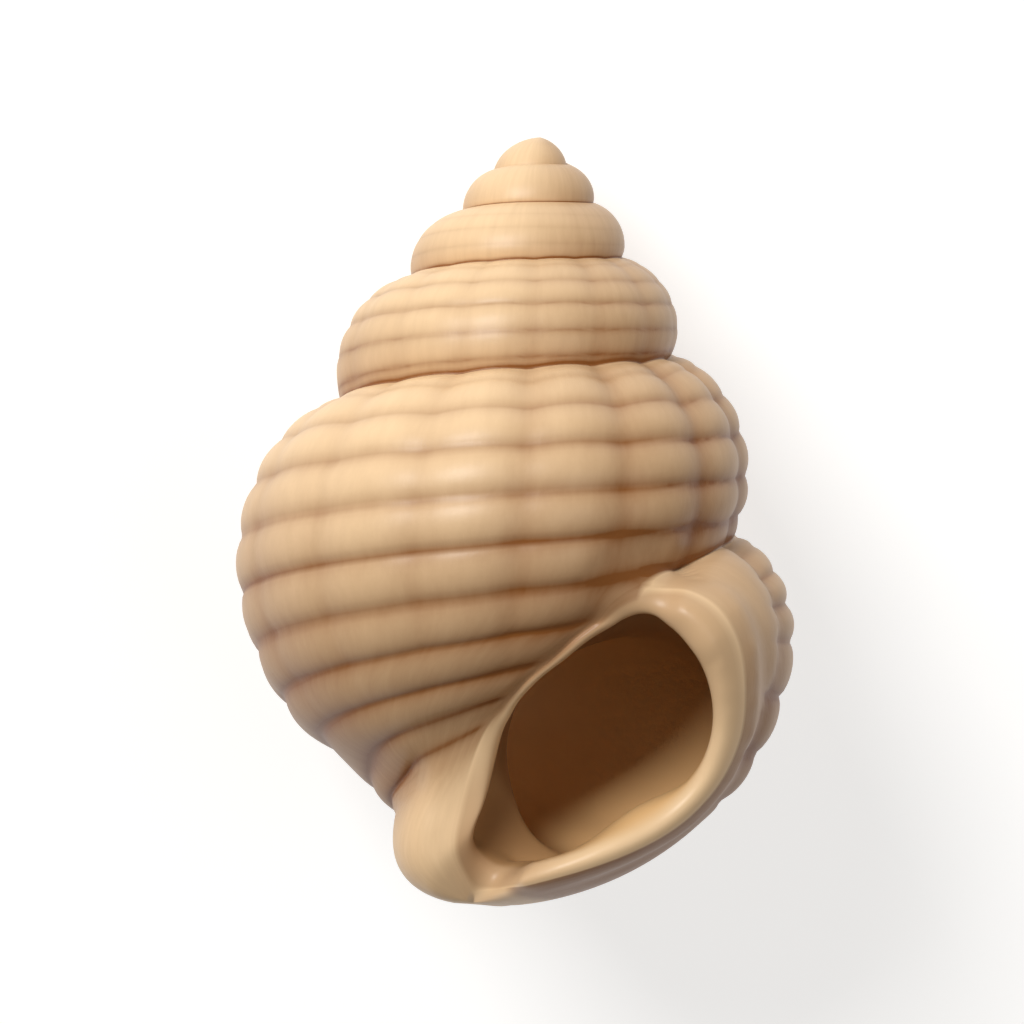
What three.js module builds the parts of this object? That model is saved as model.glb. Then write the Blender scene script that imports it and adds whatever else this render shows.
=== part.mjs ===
// A whelk shell grown as one piece, lying on its back with the opening up.
// Units are millimetres, +Z is up and the ground is at z = 0.
//
// The shell is one closed surface. Every point of it is given by two numbers:
//   turn     how many turns before the lip the shell grew there (0 at the lip, negative before it)
//   station  the place down the whorl's outline, counted in cords (0 on the widest line)
// A whorl's outline is worked out in the half plane through the axis: "radius" is the distance
// from the axis, "drop" is the distance from the apex measured along the axis.
import * as THREE from 'three';
import { mergeVertices } from 'three/addons/utils/BufferGeometryUtils.js';

// Overall size.
const shellLength = 84.8;        // apex to the rounded tip, along the axis
const bodyLift = 22.5;           // the base of the body whorl lies this much nearer the apex
const bendRate = 0.0004;         // how fast the spire leans over, per mm
const bendStart = 50;            // the lean starts this far from the apex

// Coil.
const firstTurn = -5.6;          // where growth starts, in turns before the lip
const lipAzimuth = 57;           // degrees round the axis at which the suture meets the lip
const widestRadius = 25.4;       // radius of the widest line one turn before the opening
const widestDrop = 36.2;         // and its distance from the apex
const sutureDrop = 46.9;         // distance from the apex to the suture at the lip
const radiusRate = 0.42;         // growth of the radius per turn, as a natural logarithm
const dropRate = 0.58;           // growth of the drop per turn, as a natural logarithm
const sutureRatio = 1.85;        // growth of the suture's drop per turn
const growthMark = -1.158;       // the turn at which widestRadius and widestDrop are measured
const slowFrom = -0.816;         // growth slows down from this turn on
const radiusSlowing = 0.26;
const lateThinning = 0.10;       // and the last turns get a little thinner besides
const dropSlowing = 0.40;
const apexShrink = 0.10;         // the first whorls are this much slimmer than the law gives
const firstShrink = 0.09;        // and the very first one by this much more

// Outline of a whorl.
const topStation = -4.0;         // at the suture
const lastCord = 6.4;            // the last groove, above the smooth tip
const tipStation = 8.4;          // at the tip
const lowerPower = 1.9;          // roundness of the lower outline
const cordStart = 14.2;          // degrees of outline taken by the first cord below the widest line
const cordTaper = -0.40;         // and how much narrower the next ones get
const pillarRadius = 10;
const pillarRounding = 7.8;      // length of the rounded tip
const pillarPower = 2.6;         // roundness of the tip's end
const pillarBlend = 2.4;         // width of the soft join between whorl and pillar

// Relief.
const cordPhase = 0.2;           // place of the grooves between the whole stations
const cordHeight = 0.022;        // as a share of the widest radius
const ribHeight = 0.028;
const ribsPerTurn = 15;
const cordRoundness = 0.62;      // powers of the sine wave: smaller ones give narrower grooves
const ribRoundness = 0.8;
const sutureScallop = 0.020;     // how far the ribs push the suture, as a share of the radius
const sutureDip = 2.6;           // the suture drops by this much just before the lip
const sutureRise = 0.9;          // and lies this much higher on the first whorls
const ribPhase = 88;             // azimuth of one valley between two ribs, degrees

// Lip and opening.
const lipShift = -24;            // degrees: the half plane in which the hollow begins
// how far the two lips stand from the suture's end, in degrees, by their station
const innerStations = [1.8, 2.2, 2.6, 3.2, 3.8, 4.4, 5.0, 5.6, 6.2, 6.6, 7.0, 7.5, 8.0, 8.4];
const innerLeans = [0, 0.5, 3, 11, 17, 24, 29, 34, 43, 55, 64, 66, 58, 50];
const outerStations = [-4, -3.5, -2.5, -1.5, -0.5, 0.5, 1.5, 2.5, 3.5, 4.5, 5.5, 6.5, 8.4];
const outerLeans = [0, -6, -11, -15, -18, -23, -30, -32, -28, -12, 9, 28, 40];
const lobeRounding = 2.2;        // how far the thick lower end of the inner lip turns down
const outerTurnOut = 0.9;         // how strongly the outer lip turns out of the mouth
const lobeTurnOut = 0.35;         // the same for the lobe at the lower end of the inner lip
const creaseTurnOut = 1.6;        // and for the band beside the body, which starts in a crease
const lipRoundness = 1.7;        // length of the lip's end slopes, as a share of its width
const pocketTurns = 0.72;        // how far back the hollow goes
const pocketCentre = [0.52, 0.42];
const funnelTurns = 0.16;        // the hollow is a funnel for this long, and a coiled tube after it
const funnelSide = 65;           // the funnel opens widest at this bearing, degrees
const funnelSpread = 50;
const funnelSlope = 1.1;
const undercut = 0.25;           // and it is a little undercut on the other side
const edgeDepth = 1.5;           // how far the hollow's edge lies behind the lip
// the mouth as seen from straight before it: which way it faces, its centre right of the apex
// and below it, and the distance from there to the hollow's edge at even angles, the first one
// to the right and the next ones by way of the tip
const mouthRoll = 4.2;
const mouthPitch = 6.0;
const mouthCentre = [6.4, 65.0];
const mouthEdge = [12.0, 10.8, 9.6, 9.3, 10.5, 13.6, 18.2, 12.6, 10.4, 9.9, 9.6, 10.0, 12.1, 14.9, 14.4, 13.2];
// distances from the tube's centre to its wall at the same angles, as shares of the widest radius
const tubeWall = [0.30, 0.275, 0.27, 0.29, 0.33, 0.42, 0.38, 0.40, 0.40, 0.40, 0.40, 0.40, 0.40, 0.40,
  0.38, 0.34];

// Rest: the direction in the shell's own frame that points up when it lies on its back.
const restUp = [0.2007, -0.8880, -0.4137];

// Facets.
const rowsPerTurn = 45;
const columnsByTurn = [5, 6, 8, 14, 15, 15];
const columnsBelow = 19;
const lipSteps = 5;
const pocketSteps = 9;

const RAD = Math.PI / 180;
const clamp = (x, low, high) => Math.min(high, Math.max(low, x));
const mix = (a, b, t) => a + (b - a) * t;

function smooth(from, to, x) {
  const t = clamp((x - from) / (to - from), 0, 1);
  return t * t * (3 - 2 * t);
}

// Growth laws.
function opening(turn) {
  const t = clamp(turn - firstTurn, 0, 1);
  return 1 - (1 - t) ** 3;
}

function widest(turn) {
  const slow = Math.max(0, turn - slowFrom) ** 2;
  const early = apexShrink * (1 - smooth(-3.7, -2.3, turn)) + firstShrink * (1 - smooth(-4.9, -4.3, turn));
  const thin = lateThinning * Math.max(0, turn + 1);
  const radius = widestRadius * Math.exp(radiusRate * (turn - growthMark) - radiusSlowing * slow - thin);
  const drop = widestDrop * Math.exp(dropRate * (turn - growthMark) - dropSlowing * slow);
  return { radius: radius * (1 - early) * opening(turn), drop };
}

function lowestDrop(turn) {
  if (turn > -1) {
    return shellLength - bodyLift * Math.min(turn, 0) ** 2;
  }
  return (shellLength - bodyLift) * sutureRatio ** (turn + 1);
}

function ribWave(turn) {
  const place = (lipAzimuth + 360 * turn - ribPhase) * ribsPerTurn / 360;
  return Math.abs(Math.sin(Math.PI * place)) ** ribRoundness;
}

function ribSize(turn) {
  const azimuth = lipAzimuth + 360 * turn;
  const side = 0.78 - 0.22 * Math.cos((azimuth - 165) * RAD);
  return smooth(-2.6, -1.3, turn) * side;
}

function sutureAt(turn) {
  const law = sutureDrop * sutureRatio ** turn;
  const shifts = sutureDip * smooth(-0.10, 0, turn) - sutureRise * (1 - smooth(-4.0, -3.0, turn));
  const start = smooth(firstTurn + 0.95, firstTurn + 1.5, turn);
  const scallop = sutureScallop * widest(turn).radius * ribSize(turn) * (ribWave(turn) - 0.5);
  return (law + shifts) * start - scallop;
}

// Outline.
function pillarAt(turn) {
  return pillarRadius * Math.exp(radiusRate * Math.min(0, turn + 1));
}

function lowerRadius(turn, drop) {
  const wide = widest(turn);
  const x = clamp((drop - wide.drop) / (lowestDrop(turn) - wide.drop), 0, 1);
  const whorl = wide.radius * (1 - x ** lowerPower) ** (1 / lowerPower);
  const y = clamp((drop - (shellLength - pillarRounding)) / pillarRounding, 0, 1);
  const pillar = pillarAt(turn) * (1 - y ** pillarPower) ** (1 / pillarPower) * opening(turn);
  const blend = pillarBlend * pillar / pillarAt(turn);
  return (whorl + pillar + Math.hypot(whorl - pillar, blend)) / 2;
}

function stationOnLower(turn, drop) {
  const wide = widest(turn);
  const x = clamp((drop - wide.drop) / (lowestDrop(turn) - wide.drop), 0, 1);
  const angle = Math.asin(x ** (lowerPower / 2)) / RAD;
  return (Math.sqrt(cordStart ** 2 + 4 * cordTaper * angle) - cordStart) / (2 * cordTaper);
}

function cordWave(station) {
  if (station < topStation + 0.8 - cordPhase || station > lastCord + 0.6 - cordPhase) {
    return 1;
  }
  return Math.abs(Math.sin(Math.PI * (station + cordPhase))) ** cordRoundness;
}

function relief(turn, station) {
  const cordSize = smooth(-3.3, -1.6, turn) * (0.45 + 0.55 * smooth(-2.6, -1.5, station));
  const ribs = ribSize(turn) * (ribWave(turn) - 0.6) * (1 - smooth(1.0, 4.5, station));
  const wave = cordWave(station);
  const plainEnd = smooth(-0.2, 0.2, station) * (1 - smooth(-1.5, -1.2, turn));
  const cords = cordSize * (mix(wave, 1, plainEnd) - 0.7);
  return widest(turn).radius * (cordHeight * cords + ribHeight * ribs);
}

function sutureRadius(turn) {
  if (turn < firstTurn + 1) {
    return 0;
  }
  const drop = sutureAt(turn);
  const before = turn - 1;
  return lowerRadius(before, drop) + 0.95 * relief(before, stationOnLower(before, drop));
}

function outline(turn, station) {
  const wide = widest(turn);
  if (station < 0) {
    const psi = (1 - station / topStation) * Math.PI / 2;
    const radius = sutureRadius(turn);
    const drop = sutureAt(turn);
    const rise = 0.75 * Math.cos(psi) + 0.25 * (1 - psi / (Math.PI / 2));
    return [mix(radius, wide.radius, Math.sin(psi)), wide.drop - (wide.drop - drop) * rise];
  }
  const q = Math.min(station, lastCord);
  const angle = (cordStart * q + cordTaper * q * q) * RAD;
  const cordDrop = wide.drop + (lowestDrop(turn) - wide.drop) * Math.sin(angle) ** (2 / lowerPower);
  const toTip = clamp((station - lastCord) / (tipStation - lastCord), 0, 1);
  const drop = mix(cordDrop, shellLength, Math.sin(toTip * Math.PI / 2));
  return [lowerRadius(turn, drop), drop];
}

// a smooth line through a few points: cubic pieces whose slopes come from the neighbours
function curve(x, xs, ys) {
  const last = xs.length - 1;
  const at = clamp(x, xs[0], xs[last]);
  let k = 0;
  while (k < last - 1 && at >= xs[k + 1]) {
    k += 1;
  }
  const slopeAt = (i) => {
    if (i === 0 || i === last) {
      const j = i === 0 ? 1 : last;
      return (ys[j] - ys[j - 1]) / (xs[j] - xs[j - 1]);
    }
    const left = xs[i] - xs[i - 1];
    const right = xs[i + 1] - xs[i];
    const rise = (ys[i + 1] - ys[i]) / right * left + (ys[i] - ys[i - 1]) / left * right;
    return rise / (left + right);
  };
  const width = xs[k + 1] - xs[k];
  const t = (at - xs[k]) / width;
  const t2 = t * t;
  const t3 = t2 * t;
  return (2 * t3 - 3 * t2 + 1) * ys[k] + (t3 - 2 * t2 + t) * width * slopeAt(k)
    + (3 * t2 - 2 * t3) * ys[k + 1] + (t3 - t2) * width * slopeAt(k + 1);
}

// distance over the surface from the inner lip, for the start of the last turn
function fromInnerLip(turn, station, radius) {
  const edge = -1 + curve(station, innerStations, innerLeans) / 360;
  return turn < edge - 0.001 ? 99 : (turn - edge) * 2 * Math.PI * radius;
}

// relief fades on the thick lip, on its lower end and close to the inner lip
function calm(turn, station) {
  const lower = smooth(2.0, 4.5, station);
  const lip = 1 - smooth(-0.13 - 0.18 * lower, -0.09 - 0.12 * lower, turn);
  const beside = smooth(0.2, 2.2, fromInnerLip(turn, station, widest(turn).radius * 0.6));
  return lip * (1 - smooth(1.9, 2.2, station) * (1 - beside));
}

// the thick lower end of the inner lip turns down into the mouth
function turnedDown(turn, station, radius) {
  const far = clamp(1 - fromInnerLip(turn, station, Math.max(radius, 8)) / 6.5, 0, 1);
  return -lobeRounding * far ** 2 * smooth(6.0, 6.9, station) * (1 - smooth(7.6, 8.3, station));
}

// point of the outline pushed out along its own normal by the relief
function raised(turn, station) {
  const step = 0.02;
  const before = outline(turn, clamp(station - step, topStation, tipStation));
  const after = outline(turn, clamp(station + step, topStation, tipStation));
  const point = outline(turn, station);
  const run = [after[0] - before[0], after[1] - before[1]];
  const length = Math.hypot(run[0], run[1]) + 1e-9;
  const top = smooth(topStation, topStation + 0.7, station);
  const lift = calm(turn, station) * relief(turn, station) * top + turnedDown(turn, station, point[0]);
  return [point[0] + lift * run[1] / length, point[1] - lift * run[0] / length];
}

// from the half plane to space, with the lean of the spire
function place(azimuth, radius, drop) {
  const x = radius * Math.cos(azimuth);
  const y = -radius * Math.sin(azimuth);
  const above = Math.max(0, bendStart - drop);
  return new THREE.Vector3(x, y, -drop - x * bendRate * above);
}

const azimuthOf = (turn) => (lipAzimuth + 360 * turn) * RAD;

// growth lines lean back with the outer lip and on with the inner lip
function slanted(turn, station) {
  const out = curve(station, outerStations, outerLeans) * smooth(-0.40, 0, turn);
  const back = curve(station, innerStations, innerLeans) * (1 - smooth(-1, -0.55, turn));
  return (out + back) / 360;
}

function skin(turn, station, useSlant) {
  const moved = useSlant ? turn + slanted(turn, station) : turn;
  const [radius, drop] = raised(moved, station);
  return place(azimuthOf(moved), radius, drop);
}

// Opening: an egg-shaped hollow that coils back between the whorls.
function hollowCentre(turn) {
  const wide = widest(turn);
  return [pocketCentre[0] * wide.radius, mix(wide.drop, lowestDrop(turn), pocketCentre[1])];
}

// a closed smooth line through distances given at even angles
function reachAt(angle, distances) {
  const count = distances.length;
  const at = ((angle / (2 * Math.PI)) * count % count + count) % count;
  const k = Math.floor(at);
  const t = at - k;
  const p = [-1, 0, 1, 2].map((shift) => distances[(k + shift + count) % count]);
  const a = -p[0] + 3 * p[1] - 3 * p[2] + p[3];
  const b = 2 * p[0] - 5 * p[1] + 4 * p[2] - p[3];
  return (2 * p[1] + (p[2] - p[0]) * t + b * t * t + a * t * t * t) / 2;
}

// a point of the tube's wall, which narrows as it coils back
function tubePoint(angle, depth) {
  const turn = lipShift / 360 - depth;
  const centre = hollowCentre(turn);
  const reach = reachAt(angle, tubeWall) * widest(turn).radius * (1 - 0.15 * smooth(0.1, 0.5, depth));
  return place(azimuthOf(turn), centre[0] + reach * Math.cos(angle), centre[1] + reach * Math.sin(angle));
}

// Mesh.
const points = [];
const triangles = [];

function addPoint(point) {
  points.push(point);
  return points.length - 1;
}

function addTriangle(a, b, c) {
  if (a !== b && b !== c && a !== c) {
    triangles.push([a, b, c]);
  }
}

// joins two rows of points that may differ in number
function zip(first, second) {
  let i = 0;
  let j = 0;
  while (i < first.length - 1 || j < second.length - 1) {
    const stepFirst = (i + 1) / (first.length - 1) <= (j + 1) / (second.length - 1);
    if (j === second.length - 1 || (stepFirst && i < first.length - 1)) {
      addTriangle(first[i], second[j], first[i + 1]);
      i += 1;
    } else {
      addTriangle(first[i], second[j], second[j + 1]);
      j += 1;
    }
  }
}

const rowCount = Math.round(-firstTurn * rowsPerTurn);
const openRow = rowCount - rowsPerTurn;
const turnOf = (row) => firstTurn + row / rowsPerTurn;
const tip = addPoint(place(0, 0, shellLength));
const apex = addPoint(place(0, 0, 0));

// the suture, one point a row; every row shares its last point with the row one turn on
const suture = [];
for (let row = 0; row <= rowCount; row += 1) {
  const turn = turnOf(row);
  const point = row > rowsPerTurn ? addPoint(place(azimuthOf(turn), sutureRadius(turn), sutureAt(turn))) : apex;
  suture.push(point);
}

const rows = [];
const stations = [];
for (let row = 0; row <= rowCount; row += 1) {
  const turn = turnOf(row);
  const columns = columnsByTurn[Math.floor(row / rowsPerTurn)];
  const isLast = row >= openRow;
  const covered = stationOnLower(turn, sutureAt(Math.min(turn + 1, 0)));
  const line = [suture[row]];
  const marks = [topStation];
  const joint = row === openRow ? columns : 0;
  const total = isLast ? columns + columnsBelow : columns;
  for (let column = 1; column <= total; column += 1) {
    let station = mix(topStation, covered, column / columns);
    if (isLast) {
      const split = stationOnLower(-1, sutureAt(0));
      const below = (column - columns) / columnsBelow;
      station = column <= columns ? mix(topStation, split, column / columns) : mix(split, tipStation, below);
    }
    marks.push(station);
    if (column === joint) {
      line.push(suture[rowCount]);
    } else if (column === total) {
      line.push(isLast ? tip : suture[row + rowsPerTurn]);
    } else if (row === 0) {
      line.push(apex);
    } else {
      line.push(addPoint(skin(turn, station, isLast)));
    }
  }
  rows.push(line);
  stations.push(marks);
}
for (let row = 0; row < rowCount; row += 1) {
  const next = row + 1 === openRow ? rows[row + 1].slice(0, columnsByTurn[4] + 1) : rows[row + 1];
  zip(rows[row], next);
}

// Rim: the free edge of the skin, from the suture down the inner lip and up the outer lip.
const innerColumns = columnsByTurn[4];
const rim = [];
for (let column = innerColumns; column < rows[openRow].length - 1; column += 1) {
  rim.push({ id: rows[openRow][column], station: stations[openRow][column], inner: true });
}
for (let column = rows[rowCount].length - 1; column > 0; column -= 1) {
  rim.push({ id: rows[rowCount][column], station: stations[rowCount][column], inner: false });
}

const tipIndex = rows[openRow].length - 1 - innerColumns;
const roll = mouthRoll * RAD;
const pitch = mouthPitch * RAD;
const across = new THREE.Vector3(Math.cos(roll), -Math.sin(roll) * Math.sin(pitch), Math.sin(roll) * Math.cos(pitch));
const down = new THREE.Vector3(Math.sin(roll), Math.cos(roll) * Math.sin(pitch), -Math.cos(roll) * Math.cos(pitch));
const out = new THREE.Vector3(0, -Math.cos(pitch), -Math.sin(pitch));

// averages each item with its neighbours round the closed rim
function soften(items, reach) {
  return items.map((item, index) => {
    const total = new THREE.Vector3();
    for (let shift = -reach; shift <= reach; shift += 1) {
      const other = items[(index + shift + items.length) % items.length];
      total.addScaledVector(other, (reach + 1 - Math.abs(shift)) / (reach + 1) ** 2);
    }
    return total;
  });
}

// every point of the rim looks at one point of the hollow's edge: its bearing round the mouth's
// centre, kept in order and stretched to one full turn
let lastBearing = 0;
const bearings = rim.map((spot, index) => {
  const seen = points[spot.id];
  const bearing = Math.atan2(seen.dot(down) - mouthCentre[1], seen.dot(across) - mouthCentre[0]);
  if (index === 0) {
    lastBearing = bearing;
    return bearing;
  }
  const turned = bearing - lastBearing - 2 * Math.PI * Math.round((bearing - lastBearing) / (2 * Math.PI));
  lastBearing += Math.min(turned, -0.01);
  return lastBearing;
});
const overshoot = Math.max(1, (bearings[0] - lastBearing) / (2 * Math.PI - 0.03));
rim.forEach((spot, index) => {
  spot.bearing = bearings[0] + (bearings[index] - bearings[0]) / overshoot;
});

const rimPoints = rim.map((spot) => points[spot.id]);
const heights = soften(rimPoints.map((point) => new THREE.Vector3(point.dot(out), 0, 0)), 3);
const edge = rim.map((spot, index) => {
  const reach = reachAt(spot.bearing, mouthEdge);
  return new THREE.Vector3()
    .addScaledVector(across, mouthCentre[0] + reach * Math.cos(spot.bearing))
    .addScaledVector(down, mouthCentre[1] + reach * Math.sin(spot.bearing))
    .addScaledVector(out, heights[index].x - edgeDepth);
});

// the lip leaves along the skin and turns out, and ends pointing into the hollow
const skinStep = 0.011;
const leaving = soften(rim.map((spot, index) => {
  if (index === tipIndex) {
    return new THREE.Vector3();
  }
  const turn = spot.inner ? -1 + skinStep : -skinStep;
  const behind = index === 0 ? place(azimuthOf(-skinStep), sutureRadius(-skinStep), sutureAt(-skinStep))
    : skin(turn, spot.station, true);
  const point = rimPoints[index];
  const along = rimPoints[(index + 1) % rim.length].clone().sub(rimPoints[(index + rim.length - 1) % rim.length]);
  const leave = point.clone().sub(behind).projectOnPlane(along.normalize()).normalize();
  const crease = 1 - smooth(5.6, 6.8, spot.station);
  return leave.addScaledVector(out, spot.inner ? mix(lobeTurnOut, creaseTurnOut, crease) : outerTurnOut);
}), 3);

function cubic(start, leave, end, arrive, s) {
  return new THREE.Vector3()
    .addScaledVector(start, 2 * s ** 3 - 3 * s ** 2 + 1)
    .addScaledVector(leave, s ** 3 - 2 * s ** 2 + s)
    .addScaledVector(end, 3 * s ** 2 - 2 * s ** 3)
    .addScaledVector(arrive, s ** 3 - s ** 2);
}

const strands = rim.map((spot, index) => {
  const start = rimPoints[index];
  const end = edge[index];
  const width = end.distanceTo(start);
  const bulging = out.clone().addScaledVector(down, 0.15);
  const nearTip = 1 - smooth(3, 9, Math.hypot(start.x, start.y));
  const leave = leaving[index].normalize().lerp(bulging, nearTip).normalize().multiplyScalar(width * lipRoundness);
  const towards = across.clone().multiplyScalar(Math.cos(spot.bearing)).addScaledVector(down, Math.sin(spot.bearing));
  const offSide = spot.bearing - funnelSide * RAD;
  const offLow = offSide - 2 * Math.PI * Math.round(offSide / (2 * Math.PI));
  const funnel = funnelSlope * Math.exp(-((offLow / (funnelSpread * RAD)) ** 2)) - undercut;
  const inwards = out.clone().negate().addScaledVector(towards, -funnel).normalize();
  const joint = tubePoint(spot.bearing, funnelTurns);
  const slope = tubePoint(spot.bearing, funnelTurns + 0.01).sub(joint).multiplyScalar(funnelTurns / 0.01);
  return { start, end, leave, inwards, width, joint, slope, run: joint.distanceTo(end) };
});

const rings = [rim.map((spot) => spot.id)];
for (let step = 1; step <= lipSteps; step += 1) {
  rings.push(strands.map((strand) => {
    const arrive = strand.inwards.clone().multiplyScalar(strand.width * lipRoundness);
    return addPoint(cubic(strand.start, strand.leave, strand.end, arrive, step / lipSteps));
  }));
}
for (let step = 1; step <= pocketSteps; step += 1) {
  const depth = pocketTurns * (step / pocketSteps) ** 1.3;
  rings.push(rim.map((spot, index) => {
    const strand = strands[index];
    if (depth >= funnelTurns) {
      return addPoint(tubePoint(spot.bearing, depth));
    }
    const leave = strand.inwards.clone().multiplyScalar(strand.run);
    return addPoint(cubic(strand.end, leave, strand.joint, strand.slope, depth / funnelTurns));
  }));
}
for (let k = 0; k < rings.length - 1; k += 1) {
  zip([...rings[k + 1], rings[k + 1][0]], [...rings[k], rings[k][0]]);
}
const endTurn = lipShift / 360 - pocketTurns;
const endCentre = hollowCentre(endTurn);
const cap = addPoint(place(azimuthOf(endTurn) - 0.08, endCentre[0], endCentre[1]));
const lastRing = rings[rings.length - 1];
for (let k = 0; k < lastRing.length; k += 1) {
  addTriangle(cap, lastRing[k], lastRing[(k + 1) % lastRing.length]);
}

// Rest on the ground, centred on the origin.
const up = new THREE.Vector3(...restUp).normalize();
const side = new THREE.Vector3(1, 0, 0).projectOnPlane(up).normalize();
const along = new THREE.Vector3().crossVectors(up, side);
const laid = points.map((point) => {
  return new THREE.Vector3(point.dot(side), point.dot(along), point.dot(up));
});
const box = new THREE.Box3().setFromPoints(laid);
const foot = new THREE.Vector3((box.min.x + box.max.x) / 2, (box.min.y + box.max.y) / 2, box.min.z);
const rested = laid.flatMap((spot) => spot.sub(foot).toArray());

const shape = new THREE.BufferGeometry();
shape.setAttribute('position', new THREE.Float32BufferAttribute(rested, 3));
shape.setIndex(triangles.flat());
const closed = mergeVertices(shape, 1e-3);
closed.computeVertexNormals();

const material = new THREE.MeshStandardMaterial({ color: 0xddb98a, roughness: 0.6, metalness: 0 });
material.name = 'satin shell';
const shell = new THREE.Mesh(closed, material);
shell.name = 'shell';

const group = new THREE.Group();
group.name = 'whelk_shell';
group.add(shell);
export default group;
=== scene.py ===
"""A thick-lipped whelk shell lying on its back, seen from above, on a plain pale floor."""

import math
from types import SimpleNamespace

import bpy
import numpy as np
from mathutils import Matrix, Vector


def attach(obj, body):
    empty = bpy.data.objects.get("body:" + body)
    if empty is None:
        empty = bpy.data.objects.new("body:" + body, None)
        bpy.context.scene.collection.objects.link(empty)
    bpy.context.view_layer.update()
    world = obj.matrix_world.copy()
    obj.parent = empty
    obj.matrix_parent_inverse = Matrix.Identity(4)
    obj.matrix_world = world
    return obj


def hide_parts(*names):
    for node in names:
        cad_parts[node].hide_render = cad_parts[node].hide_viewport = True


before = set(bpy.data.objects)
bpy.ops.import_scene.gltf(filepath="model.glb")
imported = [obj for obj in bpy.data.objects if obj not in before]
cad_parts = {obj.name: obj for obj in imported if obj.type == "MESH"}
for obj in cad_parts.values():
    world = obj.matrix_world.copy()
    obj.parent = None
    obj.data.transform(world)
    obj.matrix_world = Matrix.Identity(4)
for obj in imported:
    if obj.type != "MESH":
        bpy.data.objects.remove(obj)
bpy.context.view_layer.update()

bl_info = {
    "name": "Whelk Shell",
    "version": (1, 0, 0),
    "blender": (4, 2, 0),
    "location": "View3D > Sidebar > Whelk Shell",
    "description": "Builds a thick-lipped whelk shell and a plain studio round it",
    "category": "Add Mesh",
}

MM = 0.001

# Growth, in millimetres and turns: the solid's named sizes, a few of them tuned further.  Turn 0 is
# the suture's end at the lip, and the apex lies at FIRST_TURN.
SHELL_LENGTH = 84.8
BEND_RATE = 0.0004
BEND_START = 50.0
FIRST_TURN = -5.6
LIP_AZIMUTH = 57.0
WIDEST_RADIUS = 25.15
WIDEST_DROP = 36.2
RADIUS_RATE = 0.42
DROP_RATE = 0.58
GROWTH_MARK = -1.158
SLOW_FROM = -0.816
RADIUS_SLOWING = 0.26
LATE_THINNING = 0.10
DROP_SLOWING = 0.40
APEX_SHRINK = 0.10
APEX_TURNS = (-3.7, -2.3)
FIRST_SHRINK = 0.09
FIRST_TURNS = (-4.9, -4.3)
END_RISE = 22.5

# The suture: its law, its shifts at both ends, its scallops and how far it bites into the relief.
SUTURE_DROP = 46.9
SUTURE_RATIO = 1.85
LAST_SUTURE_DIP = 2.6
FIRST_SUTURE_RISE = 0.9
SCALLOP = 0.020
SUTURE_BITE = 0.95

# Stations count cords down a whorl's outline: negative above its widest line, positive below it.
TOP_STATION = -4.0
LAST_CORD = 6.4
TIP_STATION = 8.4
LOWER_POWER = 1.9
SHOULDER_ROUNDNESS = 0.75
CORD_START = 14.2
CORD_TAPER = -0.40
CORD_PHASE = 0.2
CORD_SHARPNESS = 0.62
CORD_TURNS = (-3.3, -0.9)

# The ribs, which are weakest round one azimuth, on the left of the photographed side.
RIB_PHASE = 88.0
RIBS_PER_TURN = 15
RIB_SHARPNESS = 0.8
RIB_TURNS = (-2.6, -1.3)
RIB_MEAN = 0.68
RIB_SWING = 0.32
WEAK_RIBS_AT = math.radians(165)

# The central pillar, the lobe at its end and the waist above the lobe.
PILLAR_RADIUS = 10.0
PILLAR_ROUNDING = 7.8
PILLAR_POWER = 2.6
PILLAR_BLEND = 3.6
WAIST_DROP = 70.9
WAIST_DEPTH = 1.8
WAIST_HEIGHT = 2.9
WAIST_TURN = -0.66
WAIST_TURNS = 0.15
LOBE_ROUNDING = 2.2
LOBE_REACH = 6.5
LEAST_RADIUS = 8

# The lips: how far each stands from the suture's end, in degrees, by its station.  The outer lip
# swells at one distance behind its edge, and dips at another.
INNER_STATIONS = (1.8, 2.2, 2.6, 3.2, 3.8, 4.4, 5.0, 5.6, 6.2, 6.6, 7.0, 7.5, 8.0, 8.4)
INNER_LEANS = (0.0, 0.5, 3.0, 11.0, 17.0, 24.0, 29.0, 34.0, 43.0, 55.0, 64.0, 66.0, 58.0, 50.0)
OUTER_STATIONS = (-4.0, -3.5, -2.5, -1.5, -0.5, 0.5, 1.5, 2.5, 3.5, 4.5, 5.5, 6.5, 8.4)
OUTER_LEANS = (0.0, -6.0, -11.0, -15.0, -18.0, -23.0, -30.0, -32.0, -28.0, -12.0, 9.0, 28.0, 40.0)
LIP_SWELL = 0.5
LIP_DIP = 0.35
SWELL_BEHIND = 1.6
DIP_BEHIND = 6.5
SWELL_WIDTH = 2.0

# The mouth as seen from straight before it: which way it faces, its centre right of the apex and
# below it, and the distance from there to the hollow's edge every 22.5 degrees, the first one to
# the right and the next ones by way of the tip.
MOUTH_ROLL = math.radians(4.2)
MOUTH_PITCH = math.radians(6.0)
MOUTH_CENTRE = np.array([6.4, 65.0])
MOUTH_EDGE = np.array([12.0, 10.8, 9.6, 9.3, 10.5, 13.8, 19.0, 12.2,
                       10.4, 9.9, 9.6, 10.0, 12.1, 14.9, 14.4, 13.2])
EDGE_DEPTH = 1.5

# The hollow behind the mouth: how far it coils back and how long its funnel is, in turns, where it
# starts from the suture's end, in degrees, its centre as shares of the whorl's outline, how much
# narrower it gets, how far behind its last ring the cap's point lies, in radians, and its wall's
# distances from that centre as shares of the whorl's radius.
POCKET_TURNS = 0.72
FUNNEL_TURNS = 0.16
LIP_SHIFT = -24.0
POCKET_CENTRE = (0.52, 0.42)
POCKET_NARROWING = 0.15
CAP_BEHIND = 0.08
DEEP_EDGE = np.array([0.31, 0.28, 0.27, 0.29, 0.335, 0.43, 0.48, 0.48,
                      0.48, 0.46, 0.42, 0.40, 0.40, 0.40, 0.38, 0.34])

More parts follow.
